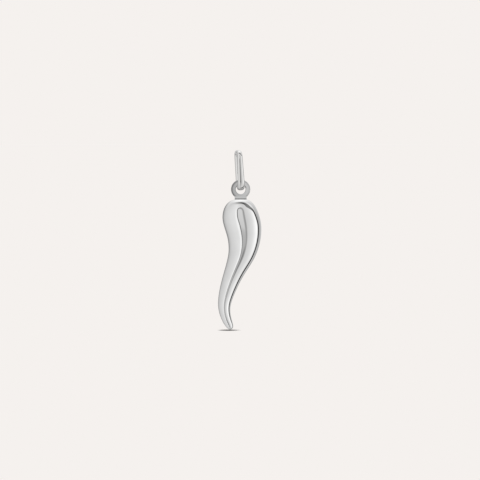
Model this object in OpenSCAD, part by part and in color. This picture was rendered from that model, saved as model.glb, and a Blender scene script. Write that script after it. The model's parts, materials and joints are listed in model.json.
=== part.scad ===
/* [Horn] */
// Height of the horn, from its top to its tip
horn_h = 18.3; // [15:0.1:22]
// Width of the horn's lobe, the round part at its top
horn_w = 5.4; // [4.6:0.1:6.2]
// Depth of the lobe, front to back
horn_d = 3.8; // [3:0.1:4.6]

/* [Eye] */
// Outer diameter of the eye, the flat ring on top of the horn
eye_d = 2.68; // [2.5:0.02:3]
// Diameter of the hole through the eye
hole_d = 1.36; // [1.34:0.02:1.5]
// Thickness of the eye, front to back
eye_t = 0.9; // [0.7:0.05:1]
// Radius that softens the edges of the eye
eye_round = 0.12; // [0.06:0.01:0.2]
// Width of the foot that solders the eye to the horn
foot_w = 1.66; // [1.5:0.02:1.8]

/* [Bail] */
// Height of the bail, outside
bail_h = 5.62; // [5:0.02:7]
// Depth of the bail at its top, outside, front to back
bail_d = 3.8; // [3.5:0.1:4.6]
// Radius of its two upper bends, at the middle of the wire
bail_bend = 0.7; // [0.35:0.05:1.1]
// Depth of the bail's lower bend, outside, front to back
bail_foot_d = 2.84; // [2.8:0.02:3.2]
// Width of the bail's oval wire at the top
wire_top_w = 0.72; // [0.6:0.02:1]
// Width of the bail's oval wire at the bottom, where it carries the eye
wire_foot_w = 1; // [0.7:0.02:1]
// Thickness of the bail's wire
wire_t = 0.62; // [0.56:0.02:0.64]
// Lean of the hanging bail, with its top to the left
bail_lean = 3.9; // [0:0.1:5]
// How far the front of the bail stands to the right of its back, at the top
bail_skew = 0.38; // [0:0.02:0.4]

/* [Hidden] */
$fn = 48;

// Overlap where one shape is let into another
let_in = 0.2;
// How far the eye's hole hangs with its centre below that of the wire in it
hang = 0.16;
// Distance along the bail from its seat, at the top inside, to the middle of the wire in the eye
reach = bail_h - 1.5 * wire_t;
// Middle of the eye's hole, about which the horn swings from side to side
eye_x = reach * sin(bail_lean);
eye_z = -reach * cos(bail_lean) - hang;
// Distance from the middle of the eye to the top of the horn below it
eye_rise = 1.41;
// The foot's top lies in the eye at this distance below the eye's middle
foot_top = 1.02;
// How far the foot's front and back lie behind those of the eye
foot_inset = 0.04;

// Steps round the wire of the bail, and steps along each of its bends
WIRE_AROUND = 20;
BEND_STEPS = 14;
FOOT_STEPS = 22;
// How square the oval of the wire is, from 2 for an ellipse
WIRE_SQUARENESS = 2.3;
// Steps round the horn, and steps from one row of its table to the next
AROUND = 56;
STEPS = 4;

// The horn's sections. The columns are the distance down from the top and the width, as parts of
// the height and width of the horn, the place to the right of the eye as a part of the width, the
// depth as a part of the lobe's depth, the crest that draws the front and back to a soft ridge,
// and the lean of the section in degrees. A smooth curve runs along the rows.
DOWN = 0;
ASIDE = 1;
WIDE = 2;
DEEP = 3;
CREST = 4;
LEAN = 5;
SECTIONS = [
    [0.000, -0.020, 0.000, 0.00, 0.00,   2],
    [0.000, -0.025, 0.480, 0.50, 0.00,   2],
    [0.052, -0.030, 0.820, 0.84, 0.00,   3],
    [0.130, -0.010, 0.975, 0.97, 0.00,   7],
    [0.210,  0.068, 0.963, 1.00, 0.02,   8],
    [0.290,  0.100, 0.872, 0.93, 0.06,   2],
    [0.365,  0.076, 0.778, 0.85, 0.12,  -7],
    [0.440,  0.010, 0.668, 0.76, 0.18, -18],
    [0.515, -0.106, 0.556, 0.67, 0.24, -24],
    [0.590, -0.215, 0.485, 0.59, 0.28, -23],
    [0.665, -0.310, 0.435, 0.53, 0.30, -20],
    [0.745, -0.392, 0.376, 0.46, 0.30, -12],
    [0.820, -0.437, 0.322, 0.40, 0.30,   0],
    [0.890, -0.402, 0.272, 0.34, 0.28,  14],
    [0.945, -0.328, 0.230, 0.28, 0.22,  25],
    [0.988, -0.250, 0.165, 0.20, 0.10,  29],
    [0.998, -0.228, 0.000, 0.00, 0.00,  30],
];
// The rows before the first and after the last mirror their neighbours, which rounds the ends
MIRRORED = [1, 1, -1, -1, 1, 1];
ROWS = concat(
    [[for (i = [0 : LEAN]) SECTIONS[1][i] * MIRRORED[i]]],
    SECTIONS,
    [[for (i = [0 : LEAN]) SECTIONS[len(SECTIONS) - 2][i] * MIRRORED[i]]]
);
SPANS = len(SECTIONS) - 1;

function weights(u) = [
    pow(1 - u, 3),
    3 * pow(u, 3) - 6 * pow(u, 2) + 4,
    -3 * pow(u, 3) + 3 * pow(u, 2) + 3 * u + 1,
    pow(u, 3)
] / 6;

function section(place) =
    let (row = min(floor(place), SPANS - 1))
    weights(place - row) * [for (i = [0 : 3]) ROWS[row + i]];

function surface_point(s, angle) =
    let (
        across = s[WIDE] * horn_w / 2 * cos(angle),
        out = s[DEEP] * horn_d / 2 * sin(angle) * (1 - s[CREST] * pow(cos(angle), 2))
    )
    [
        s[ASIDE] * horn_w + across * cos(s[LEAN]),
        out,
        -s[DOWN] * horn_h + across * sin(s[LEAN])
    ];

// The curved body, with its top at the origin
module horn_body() {
    rings = SPANS * STEPS - 1;
    points = concat(
        [surface_point(section(0), 0)],
        [
            for (ring = [1 : rings], i = [0 : AROUND - 1])
                surface_point(section(ring / STEPS), 360 * i / AROUND)
        ],
        [surface_point(section(SPANS), 0)]
    );
    tip = len(points) - 1;
    faces = concat(
        [for (i = [0 : AROUND - 1]) [0, 1 + (i + 1) % AROUND, 1 + i]],
        [
            for (ring = [0 : rings - 2], i = [0 : AROUND - 1], half = [0, 1])
                let (
                    a = 1 + ring * AROUND + i,
                    b = 1 + ring * AROUND + (i + 1) % AROUND
                )
                half == 0 ? [a, b, a + AROUND] : [b, b + AROUND, a + AROUND]
        ],
        [
            for (i = [0 : AROUND - 1])
                [tip, tip - AROUND + i, tip - AROUND + (i + 1) % AROUND]
        ]
    );
    polyhedron(points, faces, convexity = 4);
}

// Outline of the eye's band, from its hole to its rim, with rounded corners
module band_outline() {
    inner = hole_d / 2;
    wide = (eye_d - hole_d) / 2;
    translate([inner, eye_round - eye_t / 2]) square([wide, eye_t - 2 * eye_round]);
    translate([inner + eye_round, -eye_t / 2]) square([wide - 2 * eye_round, eye_t]);
    for (x = [inner + eye_round, inner + wide - eye_round], y = [-1, 1])
        translate([x, y * (eye_t / 2 - eye_round)]) circle(eye_round, $fn = 16);
}

// The eye stands in the plane of the horn's front, about the middle of its hole
module eye() {
    rotate([90, 0, 0]) rotate_extrude() band_outline();
}

// The foot fills the corners between the eye and the horn
module foot() {
    translate([0, 0, -eye_rise - let_in])
        linear_extrude(eye_rise + let_in - foot_top)
        square([foot_w, eye_t - 2 * foot_inset], center = true);
}

module horn() {
    color("silver") translate([eye_x, 0, eye_z]) {
        translate([0, 0, -eye_rise]) horn_body();
        eye();
        foot();
    }
}

// The place across the wire's oval, as a part of its half width, for the cosine or sine of an angle
function oval(part) = sign(part) * pow(abs(part), 2 / WIRE_SQUARENESS);

// A ring of points round the wire where the loop's outside faces at this angle above the back. It
// lies on a bend whose middle line has this radius, and whose centre is at this depth and height.
function wire_ring(outside, bend_r, bend_y, bend_z) =
    let (
        down = (wire_t / 2 - bend_z - bend_r * sin(outside)) / (bail_h - wire_t),
        wide = wire_top_w + (wire_foot_w - wire_top_w) * down
    )
    [
        for (i = [0 : WIRE_AROUND - 1])
            let (
                turn = 360 * i / WIRE_AROUND,
                from_centre = bend_r + wire_t / 2 * oval(sin(turn)),
                y = bend_y + from_centre * cos(outside)
            )
            [
                wide / 2 * oval(cos(turn)) - y * bail_skew / (bail_d - wire_t),
                y,
                bend_z + from_centre * sin(outside)
            ]
    ];

// The bail is a long loop of tapering wire that stands from front to back, with the chain's seat at
// the origin. A short straight top and two straight legs, which come closer to each other at the
// bottom, join its two upper bends and its lower one.
module bail() {
    foot_r = (bail_foot_d - wire_t) / 2;
    bend_y = (bail_d - wire_t) / 2 - bail_bend;
    bend_z = wire_t / 2 - bail_bend;
    foot_z = wire_t * 1.5 - bail_h + foot_r;
    between = norm([bend_y, bend_z - foot_z]);
    leg_lean = atan2(bend_y, bend_z - foot_z) - asin((foot_r - bail_bend) / between);
    bend_step = (90 + leg_lean) / BEND_STEPS;
    foot_step = (180 - 2 * leg_lean) / FOOT_STEPS;
    points = concat(
        [for (i = [0 : BEND_STEPS]) each wire_ring(i * bend_step - leg_lean, bail_bend, bend_y, bend_z)],
        [for (i = [0 : BEND_STEPS]) each wire_ring(90 + i * bend_step, bail_bend, -bend_y, bend_z)],
        [for (i = [0 : FOOT_STEPS]) each wire_ring(180 + leg_lean + i * foot_step, foot_r, 0, foot_z)]
    );
    rings = 2 * (BEND_STEPS + 1) + FOOT_STEPS + 1;
    faces = [
        for (ring = [0 : rings - 1], i = [0 : WIRE_AROUND - 1], half = [0, 1])
            let (
                next_ring = (ring + 1) % rings,
                next_i = (i + 1) % WIRE_AROUND,
                a = ring * WIRE_AROUND + i,
                b = ring * WIRE_AROUND + next_i,
                c = next_ring * WIRE_AROUND + i,
                d = next_ring * WIRE_AROUND + next_i
            )
            half == 0 ? [a, c, b] : [b, c, d]
    ];
    color("gainsboro") rotate([0, -bail_lean, 0]) polyhedron(points, faces, convexity = 6);
}

bail();
horn();
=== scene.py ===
"""Looks of a small horn charm in polished white gold, which hangs from a wire bail.

The pieces are built in millimetres in the frame's own axes, with +Z up and the front at -Y, and
their meshes are then scaled to metres. Each piece stands for one node of the construction. The
named values are in millimetres and degrees, unless a comment says otherwise, and the functions that
build the shapes take angles in radians.
"""
import json
import math

import bmesh
import bpy
import numpy as np
from mathutils import Matrix, Vector


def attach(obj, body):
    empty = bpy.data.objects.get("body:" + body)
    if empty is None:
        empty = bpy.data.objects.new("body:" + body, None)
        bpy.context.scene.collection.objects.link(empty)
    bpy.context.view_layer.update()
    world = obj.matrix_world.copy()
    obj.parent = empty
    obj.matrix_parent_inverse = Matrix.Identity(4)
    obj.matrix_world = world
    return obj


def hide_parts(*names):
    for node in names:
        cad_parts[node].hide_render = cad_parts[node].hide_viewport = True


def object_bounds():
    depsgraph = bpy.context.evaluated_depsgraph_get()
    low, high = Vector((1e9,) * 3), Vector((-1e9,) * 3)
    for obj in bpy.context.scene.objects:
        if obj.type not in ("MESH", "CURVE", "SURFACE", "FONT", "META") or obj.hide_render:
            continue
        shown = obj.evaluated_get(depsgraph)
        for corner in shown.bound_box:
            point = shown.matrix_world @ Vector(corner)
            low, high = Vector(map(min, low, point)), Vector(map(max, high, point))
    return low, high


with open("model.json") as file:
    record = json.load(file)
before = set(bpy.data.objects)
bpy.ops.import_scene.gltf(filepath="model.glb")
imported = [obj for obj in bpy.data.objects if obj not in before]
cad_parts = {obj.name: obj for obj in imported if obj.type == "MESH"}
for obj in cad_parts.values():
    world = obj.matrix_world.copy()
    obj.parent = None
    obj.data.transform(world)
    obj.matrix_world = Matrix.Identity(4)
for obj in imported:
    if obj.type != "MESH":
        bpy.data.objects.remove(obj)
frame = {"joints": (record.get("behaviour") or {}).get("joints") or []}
cad_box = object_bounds()

MM = 0.001

# The middle of the eye's hole, about which the horn swings
EYE_CENTRE = np.array(frame["joints"][0]["pos_m"]) / MM

# Sizes of the horn. Its width and depth are a hair less than in the construction, whose flat faces
# lie inside the smooth surface.
HORN_H = 18.3
HORN_W = 5.397
HORN_D = 3.799
# Distance from the middle of the eye down to the horn's top
EYE_RISE = 1.41

# The horn's sections: the distance down from the top as a part of the horn's height, the place to
# the right of the eye and the width as parts of its width, the depth as a part of the lobe's depth,
# the crest that draws the front and back to a soft ridge, and the lean
SECTIONS = np.array([
    [0.000, -0.020, 0.000, 0.00, 0.00,   2],
    [0.000, -0.025, 0.480, 0.50, 0.00,   2],
    [0.052, -0.030, 0.820, 0.84, 0.00,   3],
    [0.130, -0.010, 0.975, 0.97, 0.00,   7],
    [0.210,  0.068, 0.963, 1.00, 0.02,   8],
    [0.290,  0.100, 0.872, 0.93, 0.06,   2],
    [0.365,  0.076, 0.778, 0.85, 0.12,  -7],
    [0.440,  0.010, 0.668, 0.76, 0.18, -18],
    [0.515, -0.106, 0.556, 0.67, 0.24, -24],
    [0.590, -0.215, 0.485, 0.59, 0.28, -23],
    [0.665, -0.310, 0.435, 0.53, 0.30, -20],
    [0.745, -0.392, 0.376, 0.46, 0.30, -12],
    [0.820, -0.437, 0.322, 0.40, 0.30,   0],
    [0.890, -0.402, 0.272, 0.34, 0.28,  14],
    [0.945, -0.328, 0.230, 0.28, 0.22,  25],
    [0.988, -0.250, 0.165, 0.20, 0.10,  29],
    [0.998, -0.228, 0.000, 0.00, 0.00,  30],
])
# The rows before the first and after the last mirror their neighbours, which rounds the ends
MIRRORED = np.array([1, 1, -1, -1, 1, 1])
ROWS = np.vstack([SECTIONS[1] * MIRRORED, SECTIONS, SECTIONS[-2] * MIRRORED])
SPANS = len(SECTIONS) - 1

# Sizes of the eye. Its faces are faintly crowned, and its edges are softened by curves that are
# deeper from front to back than they are wide.
EYE_D = 2.68
HOLE_D = 1.36
EYE_T = 0.9
EYE_CORNER_WIDE = 0.13
EYE_CORNER_DEEP = 0.24
HOLE_CORNER_WIDE = 0.09
EYE_CROWN = 0.02

# The foot runs straight down from the eye into the horn, to FOOT_DOWN below the eye's middle. The
# neck lies just inside the foot and carries the rim of solder. Its top, at the height NECK_TOP from
# the eye's middle, is hidden in the eye.
FOOT_W = 1.66
FOOT_DOWN = 1.6
NECK_INSET_X = 0.04
NECK_INSET_Y = 0.03
NECK_TOP = -1.02
# How square the neck's outline is, from 2 for an ellipse
NECK_SQUARENESS = 5
# How far the rim of solder spreads beyond the neck and rises on it, and its hollow, from 0 for a
# straight slope to 1
SOLDER_WIDE = 0.12
SOLDER_HIGH = 0.13
SOLDER_HOLLOW = 0.5
# The place along the horn's table, in rows, at which the rings of the plain horn start
DOME_JOIN = 1.3
# Edges with a sharper angle than this are not shaded smoothly
SHARP_ANGLE = 38

# Sizes of the bail. Its depth and the thickness of its wire are a hair less than in the
# construction, so that the smooth wire stays inside its box.
BAIL_H = 5.62
BAIL_D = 3.786
BAIL_FOOT_D = 2.84
WIRE_TOP_W = 0.72
WIRE_FOOT_W = 1.0
WIRE_T = 0.618
# Radius of the two upper bends, at the middle of the wire
BAIL_BEND = 0.7
# Lean of the bail, with its top to the left
BAIL_LEAN = 3.9
# How far the front of the bail stands to the right of its back, at the top
BAIL_SKEW = 0.38
# Turn of the wire's oval about the upright, and how square it is, from 2 for an ellipse
WIRE_TURN = 8
WIRE_SQUARENESS = 2.3

# How finely the surfaces are divided
HORN_AROUND = 128
HORN_STEPS = 14
NECK_STEPS = 3
SOLDER_STEPS = 8
DOME_STEPS = 12
EYE_AROUND = 128
EYE_CORNER_STEPS = 8
EYE_FACE_STEPS = 12
EYE_FOOT_STEPS = 40
EYE_SIDE_STEPS = 4
WIRE_AROUND = 56
BEND_STEPS = 32
TOP_STEPS = 8
LEG_STEPS = 16
BOTTOM_STEPS = 48
# How often the search for a place on the horn's round top halves its range
DOME_HALVINGS = 30
# Keeps a division by a cosine away from zero
TINY = 1e-6

# The two metals: their colours, how much rougher their dullest parts are, and the scales of their
# polishing lines along X, Y and Z, less than 1 where the lines are drawn out
HORN_TINT = (0.88, 0.878, 0.873)
HORN_DULL = 0.04
HORN_LINES = (1, 1, 0.12)
BAIL_TINT = (0.87, 0.863, 0.85)
BAIL_DULL = 0.06
BAIL_LINES = (1, 0.12, 0.12)
POLISH_ROUGHNESS = 0.03
# The noise of faint clouds and that of fine polishing lines, the hairs, and the ranges of both over
# which the colour and the roughness change. The darkest clouds have CLOUD_TINT of the full colour.
CLOUDS_PER_METRE = 700
CLOUD_DETAIL = 3.0
CLOUD_TINT = 0.97
TINT_CLOUDS = (0.35, 0.65)
DULL_CLOUDS = (0.3, 0.7)
HAIRS_PER_METRE = 9000
HAIR_DETAIL = 4.0
HAIR_HEIGHT = 0.004
HAIR_STRENGTH = 0.05
DULL_HAIRS = (0.45, 0.7)

# Painted shade on the eye, as a share of the horn's colour at its left and right, which is darker on
# the left: on its faces, its rim and the edge of its hole. The rim's shade starts and is full at the
# distances RIM from the eye's middle, and the hole's starts HOLE_EDGE outside the hole.
EYE_SHADE_LEVELS = (0.68, 0.92)
RIM = (1.04, 1.2)
RIM_SHADE_LEVELS = (0.5, 0.85)
HOLE_EDGE = 0.15
HOLE_SHADE_LEVELS = (0.72, 0.78)
# A painted shadow in the small dark corner beside the wire, at the upper right of the hole. It is told
# by how far it is to the right of the eye's middle, above it and out from the hole.
SHADE_RIGHT = (0.4, 0.55)
SHADE_UP = (0.1, 0.25)
SHADE_OUT = (0.17, 0.09)
SHADE_LEVEL = 0.3
# The foot and the seam of solder below it, by their heights above the eye's middle
FOOT_HEIGHTS = (-0.8, -1.15)
FOOT_LEVEL = 0.92
SEAM_HEIGHT = -1.33
SEAM_HALF = 0.13
SEAM_LEVEL = 0.5
# The heights over which the horn's own surface gives way to the eye's, rougher and with painted shade
EYE_HEIGHTS = (-1.45, -1.42)
EYE_DULL = 0.08

# How bright the studio is, as the screen value that the polished metal shows when it reflects a
# place. Azimuths are from the front, with + to the right, and heights are above the horizon. A pair
# of angles or of parts of a direction is a range over which one brightness gives way to the next.
METAL_REFLECTS = 0.87
# The walls at the horizon and high up, as (azimuth, value). Low down they come to one value.
WALLS = [
    (-180, 205), (-170, 200), (-157, 118), (-138, 136), (-112, 188), (-88, 205), (-66, 212),
    (-28, 226), (-20, 246), (20, 203), (50, 221), (76, 255), (84, 250), (104, 165), (128, 186),
    (158, 206), (180, 205),
]
HIGH_WALLS = [
    (-180, 252), (-140, 224), (-85, 203), (-25, 228), (20, 206), (78, 240), (112, 200), (180, 252),
]
HIGH_WALL_HEIGHTS = (8, 45)
LOW_WALLS = 205
LOW_WALL_HEIGHTS = (-5, -70)
# The dark foot of the back wall: its sides to the left and right, its top and its bottom
LOW_BACK = 140
LOW_BACK_SIDES = (125, 150)
LOW_BACK_TOP = (-3, -18)
LOW_BACK_BOTTOM = (-72, -46)
# The ceiling in front and at the back, which meet at these parts of a direction to the back
CEILING_FRONT = 178
CEILING_BACK = 252
CEILING_DEPTHS = (-0.15, 0.25)
CEILING_HEIGHTS = (50, 78)
# The opening in the front wall. Its left side stands further left high up than low down, and its
# two upper corners are round. What is seen in it, as (height, value), has a dark bar low down.
SLIT_LEFT_LOW = -11.5
SLIT_LEFT_HIGH = -15
SLIT_LEFT_HEIGHTS = (-8, 8)
SLIT_RIGHT = 14.5
SLIT_TOP = 34
SLIT_CORNER = 13
SLIT_SOFT = 1.5
SLIT_INSIDE = [
    (-90, 178), (-50, 172), (-24, 158), (-21.2, 122), (-19, 122), (-17, 172), (-12, 182),
    (-5, 203), (10, 207), (90, 210),
]
# The dark edges of the opening at its left and right, and how far they reach in and out. The left
# one gives way to the right one in the middle of the opening's top.
SLIT_EDGE_LEVELS = (105, 152)
SLIT_EDGE_WIDTHS = (3.2, 7.5)
SLIT_EDGE_CORE = 0.8
SLIT_EDGE_SIDES = (-8, 8)
# The dark gap between the front and the back of the tent stands upright on the right and leans
# forwards to the ceiling. It is told by parts of a direction: how far behind the horn its middle is
# at the horizon, how much further behind lower down, how it leans and bends to the front higher up,
# and where that ends. GAP_RIGHT says how far to the right it starts and is full.
GAP_BEHIND = 0.087
GAP_LOW_SLOPE = 0.1
GAP_LEAN = 0.825
GAP_BEND = 1.79
GAP_FRONT = -0.29
GAP_HALF_WIDTH = 0.16
GAP_HALF_CORE = 0.08
GAP_RIGHT = (-0.45, 0.2)
GAP_LEVEL = 50
# Its high part on the right is lighter and wider to the front
GAP_HIGH_UP = (0.36, 0.6)
GAP_HIGH_RIGHT = (0.1, 0.6)
GAP_HIGH_LEVEL = 128
GAP_WIDENS = 0.1

# The backdrop, as screen values of red, green and blue
BACKDROP = (245, 241, 238)
FLOOR_ALBEDO = 0.85
FLOOR_SIZE = 2000
# Distance from the horn's tip down to the floor
FLOOR_GAP = 0.1
# How near things have to be to shade the floor below them, how fast the shade deepens, the share
# of light that the floor gives back where it is darkest, and how many rays look for near things
CONTACT_REACH = 1.3
CONTACT_POWER = 8.5
CONTACT_ALBEDO = 0.08
CONTACT_SAMPLES = 16

# The place that the camera looks at, how much it shows there from side to side, and the angle by
# which it looks down
VIEW_MIDDLE = (0.224, 0.0, -11.95)
VIEW_WIDTH = 67.2
CAMERA_RISE = 3.0
CAMERA_DISTANCE = 500.0
SENSOR = 36.0

# A mixing node's sockets for colours, which have the same names as those for numbers
MIX_FACTOR = 0
MIX_A = 6
MIX_B = 7
MIX_RESULT = 2


def add_piece(name, points, faces):
    """An object with a smooth mesh, from points in millimetres."""
    mesh = bpy.data.meshes.new(name)
    mesh.from_pydata((np.asarray(points) * MM).tolist(), [], faces)
    mesh.update()
    mesh.shade_smooth()
    piece = bpy.data.objects.new(name, mesh)
    bpy.context.scene.collection.objects.link(piece)
    return piece


def strips(first, rings, around, closed=False):
    """Quads between rings of points that follow each other, where first is the first point's number."""
    faces = []
    for ring in range(rings if closed else rings - 1):
        a = first + ring * around
        b = first + (ring + 1) % rings * around
        faces += [(a + i, a + (i + 1) % around, b + (i + 1) % around, b + i) for i in range(around)]
    return faces


def face_outwards(piece):
    """Makes all faces of a closed mesh face outwards."""
    shell = bmesh.new()
    shell.from_mesh(piece.data)
    bmesh.ops.recalc_face_normals(shell, faces=shell.faces)
    shell.to_mesh(piece.data)
    shell.free()


def squared(part, squareness):
    """Where a squared oval lies for the cosine or sine of an angle, as a part of its half width."""
    return np.sign(part) * np.abs(part) ** (2 / squareness)


def horn_section(place):
    """The horn's section at a place along the rows of its table, on a cubic B-spline."""
    row = min(int(place), SPANS - 1)
    u = place - row
    weights = [(1 - u) ** 3, 3 * u ** 3 - 6 * u ** 2 + 4, -3 * u ** 3 + 3 * u ** 2 + 3 * u + 1, u ** 3]
    return np.array(weights) / 6 @ ROWS[row:row + 4]


def horn_ring(place, angles):
    """Points round the horn's section at a place along its table."""
    down, aside, wide, deep, crest, lean = horn_section(place)
    across = wide * HORN_W / 2 * np.cos(angles)
    out = deep * HORN_D / 2 * np.sin(angles) * (1 - crest * np.cos(angles) ** 2)
    lean = math.radians(lean)
    x = aside * HORN_W + across * math.cos(lean)
    z = -EYE_RISE - down * HORN_H + across * math.sin(lean)
    return np.stack([x, out, z], axis=-1) + EYE_CENTRE


def dome_spot(x, y):
    """The place and the angle at which the horn's round top lies at x and y from the eye's middle."""
    low, high = 0.0, DOME_JOIN
    for _ in range(DOME_HALVINGS):
        place = (low + high) / 2
        _, aside, wide, deep, _, lean = horn_section(place)
        across = (x - aside * HORN_W) / (wide * HORN_W / 2 * math.cos(math.radians(lean)))
        out = y / (deep * HORN_D / 2)
        if math.hypot(across, out) > 1:
            low = place
        else:
            high = place
    return place, math.atan2(out, across)


def neck_outline(angles, grown=0.0):
    """Points round the neck as seen from above, a soft-cornered rectangle about the eye's middle."""
    half_x = FOOT_W / 2 - NECK_INSET_X + grown
    half_y = EYE_T / 2 - NECK_INSET_Y + grown
    x = half_x * squared(np.cos(angles), NECK_SQUARENESS)
    y = half_y * squared(np.sin(angles), NECK_SQUARENESS)
    return np.stack([x, y], axis=-1)


def dome_rings(spots, angles):
    """Rings over the horn's round top, from the spots beside the solder to the plain horn.

    A spot is a place along the horn's table and the angle there, and angles are those at the end.
    """
    rings = []
    for t in np.linspace(0, 1, DOME_STEPS + 1)[1:-1]:
        ring = []
        for (place, angle), end_angle in zip(spots, angles):
            turn = (end_angle - angle + math.pi) % (2 * math.pi) - math.pi
            ring.append(horn_ring(place + (DOME_JOIN - place) * t, angle + turn * t))
        rings.append(np.array(ring))
    return rings


def neck_rings(angles):
    """Rings down the neck, over the thin rim of solder and on to the plain horn."""
    under = [dome_spot(x, y) for x, y in neck_outline(angles)]
    beside = [dome_spot(x, y) for x, y in neck_outline(angles, SOLDER_WIDE)]
    corner = np.array([horn_ring(place, angle) for place, angle in under])
    start = corner + (0, 0, SOLDER_HIGH)
    end = np.array([horn_ring(place, angle) for place, angle in beside])
    hollow = corner * SOLDER_HOLLOW + (start + end) / 2 * (1 - SOLDER_HOLLOW)
    top = start.copy()
    top[:, 2] = EYE_CENTRE[2] + NECK_TOP
    down_neck = [top + (start - top) * t for t in np.linspace(0, 1, NECK_STEPS + 1)]
    over_solder = [
        (1 - t) ** 2 * start + 2 * t * (1 - t) * hollow + t ** 2 * end
        for t in np.linspace(0, 1, SOLDER_STEPS + 1)[1:]
    ]
    return down_neck + over_solder + dome_rings(beside, angles)


def build_horn_body():
    """The neck, its rim of solder and the curved horn in one closed surface."""
    angles = np.arange(HORN_AROUND) * 2 * math.pi / HORN_AROUND
    rings = neck_rings(angles)
    count = round((SPANS - DOME_JOIN) * HORN_STEPS)
    places = np.linspace(DOME_JOIN, SPANS, count + 1)
    rings += [horn_ring(place, angles) for place in places[:-1]]
    tip = horn_ring(SPANS, angles).mean(axis=0)
    points = np.vstack([rings[0].mean(axis=0)[None]] + rings + [tip[None]])
    last = len(points) - 1
    faces = strips(1, len(rings), HORN_AROUND)
    for i in range(HORN_AROUND):
        after = (i + 1) % HORN_AROUND
        faces.append((0, 1 + after, 1 + i))
        faces.append((last, last - HORN_AROUND + i, last - HORN_AROUND + after))
    body = add_piece("horn", points, faces)
    face_outwards(body)
    return body


def eye_reach(turn):
    """How far the edge is from the eye's middle, at an angle above +X.

    The edge is round, apart from the foot's straight sides and its straight bottom.
    """
    across, up = abs(math.cos(turn)), math.sin(turn)
    if up > 0 or across > FOOT_W / EYE_D:
        return EYE_D / 2
    return min(max(EYE_D / 2, FOOT_W / 2 / max(across, TINY)), FOOT_DOWN / -up)


def eye_section(outer):
    """The eye's section out to its edge, as (distance from its middle, place from front to back)."""
    inner = HOLE_D / 2
    turns = np.linspace(0, math.pi / 2, EYE_CORNER_STEPS + 1)
    near, far = inner + HOLE_CORNER_WIDE, outer - EYE_CORNER_WIDE
    half = [(far + EYE_CORNER_WIDE * math.cos(t), math.sin(t)) for t in turns]
    half += [(r, 1) for r in np.linspace(far, near, EYE_FACE_STEPS + 1)[1:-1]]
    half += [(near - HOLE_CORNER_WIDE * math.cos(t), math.sin(t)) for t in turns[::-1]]
    half = np.array(half)
    crowned = EYE_T / 2 - EYE_CROWN * (2 * half[:, 0] / EYE_D) ** 2
    half[:, 1] = crowned - EYE_CORNER_DEEP * (1 - half[:, 1])
    return np.vstack([half, half[::-1] * (1, -1)])


def build_eye():
    """The eye, a flat ring on a straight foot, with softened edges and faintly crowned faces."""
    half_angle = math.asin(FOOT_W / EYE_D)
    corner_angle = math.atan(FOOT_W / 2 / FOOT_DOWN)
    down, down_again = -math.pi / 2, 3 * math.pi / 2
    turns = np.concatenate([
        np.linspace(down - corner_angle, down + corner_angle, EYE_FOOT_STEPS, endpoint=False),
        np.linspace(down + corner_angle, down + half_angle, EYE_SIDE_STEPS, endpoint=False),
        np.linspace(down + half_angle, down_again - half_angle, EYE_AROUND, endpoint=False),
        np.linspace(down_again - half_angle, down_again - corner_angle, EYE_SIDE_STEPS, endpoint=False),
    ])
    rings = []
    for turn in turns:
        distance, depth = eye_section(eye_reach(turn)).T
        rings.append(np.stack([distance * math.cos(turn), depth, distance * math.sin(turn)], axis=-1))
    faces = strips(0, len(rings), len(rings[0]), closed=True)
    eye = add_piece("eye", np.vstack(rings) + EYE_CENTRE, faces)
    face_outwards(eye)
    return eye


def solder(body, part):
    """Joins part to body in one watertight surface."""
    union = body.modifiers.new("solder", "BOOLEAN")
    union.operation = "UNION"
    union.solver = "EXACT"
    union.object = part
    bpy.context.view_layer.update()
    solid = bpy.data.meshes.new_from_object(body.evaluated_get(bpy.context.evaluated_depsgraph_get()))
    body.modifiers.remove(union)
    body.data = solid
    bpy.data.objects.remove(part)


def build_horn():
    """The horn with its eye."""
    horn = build_horn_body()
    solder(horn, build_eye())
    horn.data.name = "horn"
    horn.data.shade_smooth()
    horn.data.set_sharp_from_angle(angle=math.radians(SHARP_ANGLE))
    return horn


def wire_ring(stop, angles):
    """Points round the bail's wire at a stop along its loop.

    A stop is the angle above the back at which the loop's outside faces, and the radius, depth and
    height of the bend there. angles are those of the points round the wire.
    """
    outside, bend_r, bend_y, bend_z = stop
    down = (WIRE_T / 2 - bend_z - bend_r * math.sin(outside)) / (BAIL_H - WIRE_T)
    wide = WIRE_TOP_W + (WIRE_FOOT_W - WIRE_TOP_W) * down
    across = wide / 2 * squared(np.cos(angles), WIRE_SQUARENESS)
    outwards = WIRE_T / 2 * squared(np.sin(angles), WIRE_SQUARENESS)
    middle = bend_y + bend_r * math.cos(outside)
    past = outwards * math.cos(outside)
    turn = math.radians(WIRE_TURN)
    x = across * math.cos(turn) - past * math.sin(turn) - middle * BAIL_SKEW / (BAIL_D - WIRE_T)
    y = across * math.sin(turn) + past * math.cos(turn) + middle
    z = bend_z + (bend_r + outwards) * math.sin(outside)
    return np.stack([x, y, z], axis=-1)


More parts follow.
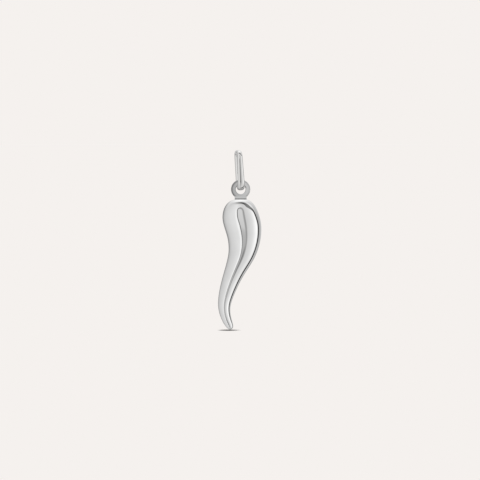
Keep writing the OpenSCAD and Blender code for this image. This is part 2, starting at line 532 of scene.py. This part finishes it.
def build_bail():
    """The bail, a long loop of tapering oval wire with two upper bends and a lower one."""
    foot_r = (BAIL_FOOT_D - WIRE_T) / 2
    bend_y = (BAIL_D - WIRE_T) / 2 - BAIL_BEND
    bend_z = WIRE_T / 2 - BAIL_BEND
    foot_z = 1.5 * WIRE_T - BAIL_H + foot_r
    between = math.hypot(bend_y, bend_z - foot_z)
    leg_lean = math.atan2(bend_y, bend_z - foot_z) - math.asin((foot_r - BAIL_BEND) / between)
    back = (BAIL_BEND, bend_y, bend_z)
    front = (BAIL_BEND, -bend_y, bend_z)
    bottom = (foot_r, 0, foot_z)
    loop = [
        ((-leg_lean, *back), BEND_STEPS),
        ((math.pi / 2, *back), TOP_STEPS),
        ((math.pi / 2, *front), BEND_STEPS),
        ((math.pi + leg_lean, *front), LEG_STEPS),
        ((math.pi + leg_lean, *bottom), BOTTOM_STEPS),
        ((2 * math.pi - leg_lean, *bottom), LEG_STEPS),
        ((2 * math.pi - leg_lean, *back), 0),
    ]
    stops = np.vstack([
        np.linspace(start, end, steps, endpoint=False)
        for (start, steps), (end, _) in zip(loop, loop[1:])
    ])
    angles = np.arange(WIRE_AROUND) * 2 * math.pi / WIRE_AROUND
    rings = [wire_ring(stop, angles) for stop in stops]
    bail = add_piece("bail", np.vstack(rings), strips(0, len(rings), WIRE_AROUND, closed=True))
    face_outwards(bail)
    bail.data.transform(Matrix.Rotation(-math.radians(BAIL_LEAN), 4, "Y"))
    return bail


def grey(level):
    """An opaque grey of this brightness."""
    return (level, level, level, 1)


class Graph:
    """Adds nodes to a node tree. A value is a number, a colour or another node's output."""

    def __init__(self, tree):
        self.tree = tree
        tree.nodes.clear()

    def add(self, kind, values=None, **settings):
        """A node with these values at its inputs and these settings of its own."""
        node = self.tree.nodes.new(kind)
        for name, setting in settings.items():
            setattr(node, name, setting)
        for name, value in (values or {}).items():
            if isinstance(value, bpy.types.NodeSocket):
                self.tree.links.new(value, node.inputs[name])
            else:
                node.inputs[name].default_value = value
        return node

    def math(self, operation, a, b=0.0):
        """The result of one operation on one or two numbers."""
        return self.add("ShaderNodeMath", {0: a, 1: b}, operation=operation).outputs[0]

    def length(self, a, b):
        """The distance from (0, 0) to (a, b)."""
        squares = self.math("ADD", self.math("POWER", a, 2), self.math("POWER", b, 2))
        return self.math("SQRT", squares)

    def product(self, *values):
        """The product of all these numbers."""
        result = values[0]
        for value in values[1:]:
            result = self.math("MULTIPLY", result, value)
        return result

    def smooth(self, value, start, end):
        """Goes smoothly from 0 at start to 1 at end."""
        bounds = {"Value": value, "From Min": start, "From Max": end}
        return self.add("ShaderNodeMapRange", bounds, interpolation_type="SMOOTHSTEP").outputs[0]

    def blend(self, share, a, b):
        """A number that goes from a to b as share goes from 0 to 1."""
        return self.add("ShaderNodeMix", {"Factor": share, "A": a, "B": b}).outputs[0]

    def blend_colours(self, share, a, b, blend_type="MIX"):
        """A colour that goes from a to b, or to their blend, as share goes from 0 to 1."""
        values = {MIX_FACTOR: share, MIX_A: a, MIX_B: b}
        node = self.add("ShaderNodeMix", values, data_type="RGBA", blend_type=blend_type)
        return node.outputs[MIX_RESULT]

    def noise(self, place, scale, detail):
        """Noise from 0 to 1 at a place."""
        values = {"Vector": place, "Scale": scale, "Detail": detail}
        return self.add("ShaderNodeTexNoise", values).outputs[0]

    def ramp(self, value, low, high, stops):
        """The brightness at a value between low and high, from stops of (value, brightness)."""
        position = self.math("DIVIDE", self.math("SUBTRACT", value, low), high - low)
        node = self.add("ShaderNodeValToRGB", {"Fac": position})
        elements = node.color_ramp.elements
        while len(elements) < len(stops):
            elements.new(1.0)
        for element, (place, level) in zip(elements, stops):
            element.position = (place - low) / (high - low)
            element.color = grey(level)
        return node.outputs["Color"]


def polished_metal(name, tint, dull, lines, finish_and_shade=None):
    """Mirror-polished metal with faint polishing lines.

    tint is its colour, dull is how much rougher its dullest parts are, and lines is the scale of
    the polishing lines along X, Y and Z. The last argument is a function that takes the graph, the
    colour and the roughness, and gives the metal's new colour, with painted shade, and its new
    roughness.
    """
    material = bpy.data.materials.new(name)
    material.use_nodes = True
    graph = Graph(material.node_tree)
    place = graph.add("ShaderNodeTexCoord").outputs["Object"]
    clouds = graph.noise(place, CLOUDS_PER_METRE, CLOUD_DETAIL)
    stretched = graph.add("ShaderNodeMapping", {"Vector": place, "Scale": lines}).outputs[0]
    hairs = graph.noise(stretched, HAIRS_PER_METRE, HAIR_DETAIL)
    darker = tuple(c * CLOUD_TINT for c in tint)
    colour = graph.blend_colours(graph.smooth(clouds, *TINT_CLOUDS), darker + (1,), tint + (1,))
    patches = graph.math("MULTIPLY", graph.smooth(clouds, *DULL_CLOUDS), dull / 2)
    fine = graph.math("MULTIPLY", graph.smooth(hairs, *DULL_HAIRS), dull / 2)
    rough = graph.math("ADD", graph.math("ADD", patches, fine), POLISH_ROUGHNESS)
    if finish_and_shade:
        colour, rough = finish_and_shade(graph, colour, rough)
    bump = graph.add("ShaderNodeBump", {
        "Height": hairs,
        "Strength": HAIR_STRENGTH,
        "Distance": HAIR_HEIGHT * MM,
    })
    shader = graph.add("ShaderNodeBsdfPrincipled", {
        "Base Color": colour,
        "Metallic": 1.0,
        "Roughness": rough,
        "Normal": bump.outputs[0],
    })
    graph.add("ShaderNodeOutputMaterial", {"Surface": shader.outputs[0]})
    return material


def eye_finish_and_painted_shade(graph, colour, rough):
    """Makes the eye less polished than the horn, darker along its solder seam, and paints shade along
    its edges, on its left and beside the wire.
    """
    place = graph.add("ShaderNodeTexCoord").outputs["Object"]
    x, _, z = graph.add("ShaderNodeSeparateXYZ", {0: place}).outputs
    x = graph.math("SUBTRACT", graph.math("DIVIDE", x, MM), EYE_CENTRE[0])
    z = graph.math("SUBTRACT", graph.math("DIVIDE", z, MM), EYE_CENTRE[2])
    from_middle = graph.length(x, z)
    from_hole = graph.math("SUBTRACT", from_middle, HOLE_D / 2)

    # Painted shade: darker on the eye's left side, and along its rim and the edge of its hole
    side = graph.smooth(x, -EYE_D / 2, EYE_D / 2)
    faces = graph.blend(side, *EYE_SHADE_LEVELS)
    rim = graph.blend(graph.smooth(from_middle, *RIM), 1.0, graph.blend(side, *RIM_SHADE_LEVELS))
    hole = graph.blend(graph.smooth(from_hole, HOLE_EDGE, 0), 1.0, graph.blend(side, *HOLE_SHADE_LEVELS))
    level = graph.product(faces, rim, hole)

    # A painted shadow in the corner beside the wire, at the upper right of the hole
    shade = graph.product(
        graph.smooth(x, *SHADE_RIGHT), graph.smooth(z, *SHADE_UP), graph.smooth(from_hole, *SHADE_OUT)
    )
    level = graph.blend(shade, level, SHADE_LEVEL)
    level = graph.blend(graph.smooth(z, *FOOT_HEIGHTS), level, FOOT_LEVEL)
    from_seam = graph.math("ABSOLUTE", graph.math("SUBTRACT", z, SEAM_HEIGHT))
    level = graph.blend(graph.smooth(from_seam, SEAM_HALF, SEAM_HALF / 2), level, SEAM_LEVEL)

    on_eye = graph.smooth(z, *EYE_HEIGHTS)
    level = graph.blend(on_eye, 1.0, level)
    share = graph.add("ShaderNodeCombineColor", {0: level, 1: level, 2: level}).outputs[0]
    colour = graph.blend_colours(1.0, colour, share, blend_type="MULTIPLY")
    rough = graph.math("ADD", rough, graph.math("MULTIPLY", on_eye, EYE_DULL))
    return colour, rough


def horn_metal():
    """The horn's metal, duller on the eye and its foot, with painted shade on the eye."""
    return polished_metal("horn_metal", HORN_TINT, HORN_DULL, HORN_LINES, eye_finish_and_painted_shade)


def bail_metal():
    """The metal of the bail's wire, with its lines along the loop."""
    return polished_metal("bail_metal", BAIL_TINT, BAIL_DULL, BAIL_LINES)


def linear(screen):
    """The linear value of a screen value from 0 to 255, by the sRGB curve."""
    part = screen / 255
    return part / 12.92 if part <= 0.04045 else ((part + 0.055) / 1.055) ** 2.4


def studio_light(level):
    """The brightness of a studio place that the metal shows as this screen value."""
    return linear(level) / METAL_REFLECTS


def studio_ramp(graph, angle, largest, stops):
    """The brightness at an angle between -largest and largest, from stops of (angle, value)."""
    return graph.ramp(angle, -largest, largest, [(at, studio_light(value)) for at, value in stops])


def wall_brightness(graph, azimuth, height):
    """The brightness of the walls in a direction."""
    walls = studio_ramp(graph, azimuth, 180, WALLS)
    high = studio_ramp(graph, azimuth, 180, HIGH_WALLS)
    walls = graph.blend(graph.smooth(height, *LOW_WALL_HEIGHTS), walls, studio_light(LOW_WALLS))
    walls = graph.blend(graph.smooth(height, *HIGH_WALL_HEIGHTS), walls, high)
    low_back = graph.product(
        graph.smooth(graph.math("ABSOLUTE", azimuth), *LOW_BACK_SIDES),
        graph.smooth(height, *LOW_BACK_TOP),
        graph.smooth(height, *LOW_BACK_BOTTOM),
    )
    return graph.blend(low_back, walls, studio_light(LOW_BACK))


def slit_distance(graph, azimuth, height):
    """How far outside the edge of the front opening a direction is, less than 0 inside it."""
    left = graph.blend(graph.smooth(height, *SLIT_LEFT_HEIGHTS), SLIT_LEFT_LOW, SLIT_LEFT_HIGH)
    out_left = graph.math("SUBTRACT", left, azimuth)
    out_right = graph.math("SUBTRACT", azimuth, SLIT_RIGHT)
    out_x = graph.math("ADD", graph.math("MAXIMUM", out_left, out_right), SLIT_CORNER)
    out_y = graph.math("SUBTRACT", height, SLIT_TOP - SLIT_CORNER)
    corner = graph.length(graph.math("MAXIMUM", out_x, 0), graph.math("MAXIMUM", out_y, 0))
    within = graph.math("MINIMUM", graph.math("MAXIMUM", out_x, out_y), 0)
    return graph.math("SUBTRACT", graph.math("ADD", corner, within), SLIT_CORNER)


def slit_brightness(graph, azimuth, height, around):
    """The brightness in and beside the front opening, where around is that beyond it."""
    outside = slit_distance(graph, azimuth, height)
    inside = studio_ramp(graph, height, 90, SLIT_INSIDE)
    level = graph.blend(graph.smooth(outside, -SLIT_SOFT, SLIT_SOFT), inside, around)
    right_side = graph.smooth(azimuth, *SLIT_EDGE_SIDES)
    edge = graph.blend(right_side, *[studio_light(value) for value in SLIT_EDGE_LEVELS])
    width = graph.blend(right_side, *SLIT_EDGE_WIDTHS)
    on_edge = graph.smooth(graph.math("ABSOLUTE", outside), width, SLIT_EDGE_CORE)
    return graph.blend(on_edge, level, edge)


def gap_share(graph, x, y, z, high):
    """How much of the dark gap is seen in a direction, where high is the share of its high part."""
    below = graph.math("MULTIPLY", graph.math("MINIMUM", z, 0), -GAP_LOW_SLOPE)
    above = graph.math("MULTIPLY", graph.math("POWER", graph.math("MAXIMUM", z, 0), GAP_BEND), GAP_LEAN)
    middle = graph.math("SUBTRACT", graph.math("ADD", below, GAP_BEHIND), above)
    middle = graph.math("MAXIMUM", middle, GAP_FRONT)
    wider = graph.math("MULTIPLY", high, GAP_WIDENS)
    distance = graph.math("ABSOLUTE", graph.math("ADD", graph.math("SUBTRACT", y, middle), wider))
    distance = graph.math("SUBTRACT", distance, wider)
    share = graph.smooth(distance, GAP_HALF_WIDTH, GAP_HALF_CORE)
    return graph.math("MULTIPLY", share, graph.smooth(x, *GAP_RIGHT))


def studio_brightness(graph):
    """The brightness of the studio in the direction of a ray."""
    ray = graph.add("ShaderNodeTexCoord").outputs["Generated"]
    x, y, z = graph.add("ShaderNodeSeparateXYZ", {0: ray}).outputs
    azimuth = graph.math("DEGREES", graph.math("ARCTAN2", x, graph.math("MULTIPLY", y, -1)))
    height = graph.math("DEGREES", graph.math("ARCSINE", z))
    walls = wall_brightness(graph, azimuth, height)
    level = slit_brightness(graph, azimuth, height, walls)
    ceiling = graph.blend(
        graph.smooth(y, *CEILING_DEPTHS), studio_light(CEILING_FRONT), studio_light(CEILING_BACK)
    )
    level = graph.blend(graph.smooth(height, *CEILING_HEIGHTS), level, ceiling)
    high = graph.product(graph.smooth(z, *GAP_HIGH_UP), graph.smooth(x, *GAP_HIGH_RIGHT))
    gap = graph.blend(high, studio_light(GAP_LEVEL), studio_light(GAP_HIGH_LEVEL))
    return graph.blend(gap_share(graph, x, y, z, high), level, gap)


def build_world():
    """The studio, which only the metal reflects. The camera sees a plain backdrop, and the floor is
    lit evenly by as much light as makes it look like the backdrop."""
    world = bpy.data.worlds.new("studio")
    bpy.context.scene.world = world
    world.use_nodes = True
    world.cycles.sampling_method = "NONE"
    graph = Graph(world.node_tree)
    path = graph.add("ShaderNodeLightPath")
    studio = studio_brightness(graph)
    backdrop = tuple(linear(value) for value in BACKDROP)
    light = tuple(c / FLOOR_ALBEDO for c in backdrop)
    fill = graph.blend_colours(path.outputs["Is Camera Ray"], light + (1,), backdrop + (1,))
    colour = graph.blend_colours(path.outputs["Is Glossy Ray"], fill, studio)
    background = graph.add("ShaderNodeBackground", {"Color": colour})
    graph.add("ShaderNodeOutputWorld", {"Surface": background.outputs[0]})


def floor_material():
    """A matt pale surface, with a small dark shade where something is close to it."""
    material = bpy.data.materials.new("floor")
    material.use_nodes = True
    graph = Graph(material.node_tree)
    distance = {"Distance": CONTACT_REACH * MM}
    nearby = graph.add("ShaderNodeAmbientOcclusion", distance, samples=CONTACT_SAMPLES)
    open_share = graph.math("POWER", nearby.outputs["AO"], CONTACT_POWER)
    colour = graph.blend_colours(open_share, grey(CONTACT_ALBEDO), grey(FLOOR_ALBEDO))
    diffuse = graph.add("ShaderNodeBsdfDiffuse", {"Color": colour})
    graph.add("ShaderNodeOutputMaterial", {"Surface": diffuse.outputs[0]})
    return material


def build_floor():
    """A plain pale floor just below the horn's tip."""
    half = FLOOR_SIZE / 2 * MM
    low = cad_box[0][2] - FLOOR_GAP * MM
    mesh = bpy.data.meshes.new("floor")
    corners = [(-half, -half, low), (half, -half, low), (half, half, low), (-half, half, low)]
    mesh.from_pydata(corners, [], [(0, 1, 2, 3)])
    mesh.materials.append(floor_material())
    floor = bpy.data.objects.new("floor", mesh)
    bpy.context.scene.collection.objects.link(floor)
    floor.visible_glossy = False


def build_camera():
    """A long lens straight in front of the pendant, a little above it."""
    lens = bpy.data.cameras.new("camera")
    lens.sensor_width = SENSOR
    lens.lens = SENSOR * CAMERA_DISTANCE / VIEW_WIDTH
    camera = bpy.data.objects.new("camera", lens)
    bpy.context.scene.collection.objects.link(camera)
    rise = math.radians(CAMERA_RISE)
    towards = Vector((0, -math.cos(rise), math.sin(rise)))
    camera.location = (Vector(VIEW_MIDDLE) + towards * CAMERA_DISTANCE) * MM
    camera.rotation_euler = towards.to_track_quat("Z", "Y").to_euler()
    bpy.context.scene.camera = camera


def hide_from_bounces(piece):
    """Keeps a piece out of reflections, and keeps its broad shade off the floor."""
    piece.visible_glossy = False
    piece.visible_diffuse = False


horn = build_horn()
horn.data.materials.append(horn_metal())
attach(horn, "horn")
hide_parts("horn")
hide_from_bounces(horn)

bail = build_bail()
bail.data.materials.append(bail_metal())
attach(bail, "bail")
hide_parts("bail")
hide_from_bounces(bail)

build_world()
build_floor()
build_camera()
scene = bpy.context.scene
scene.view_settings.view_transform = "Standard"
scene.cycles.caustics_reflective = False
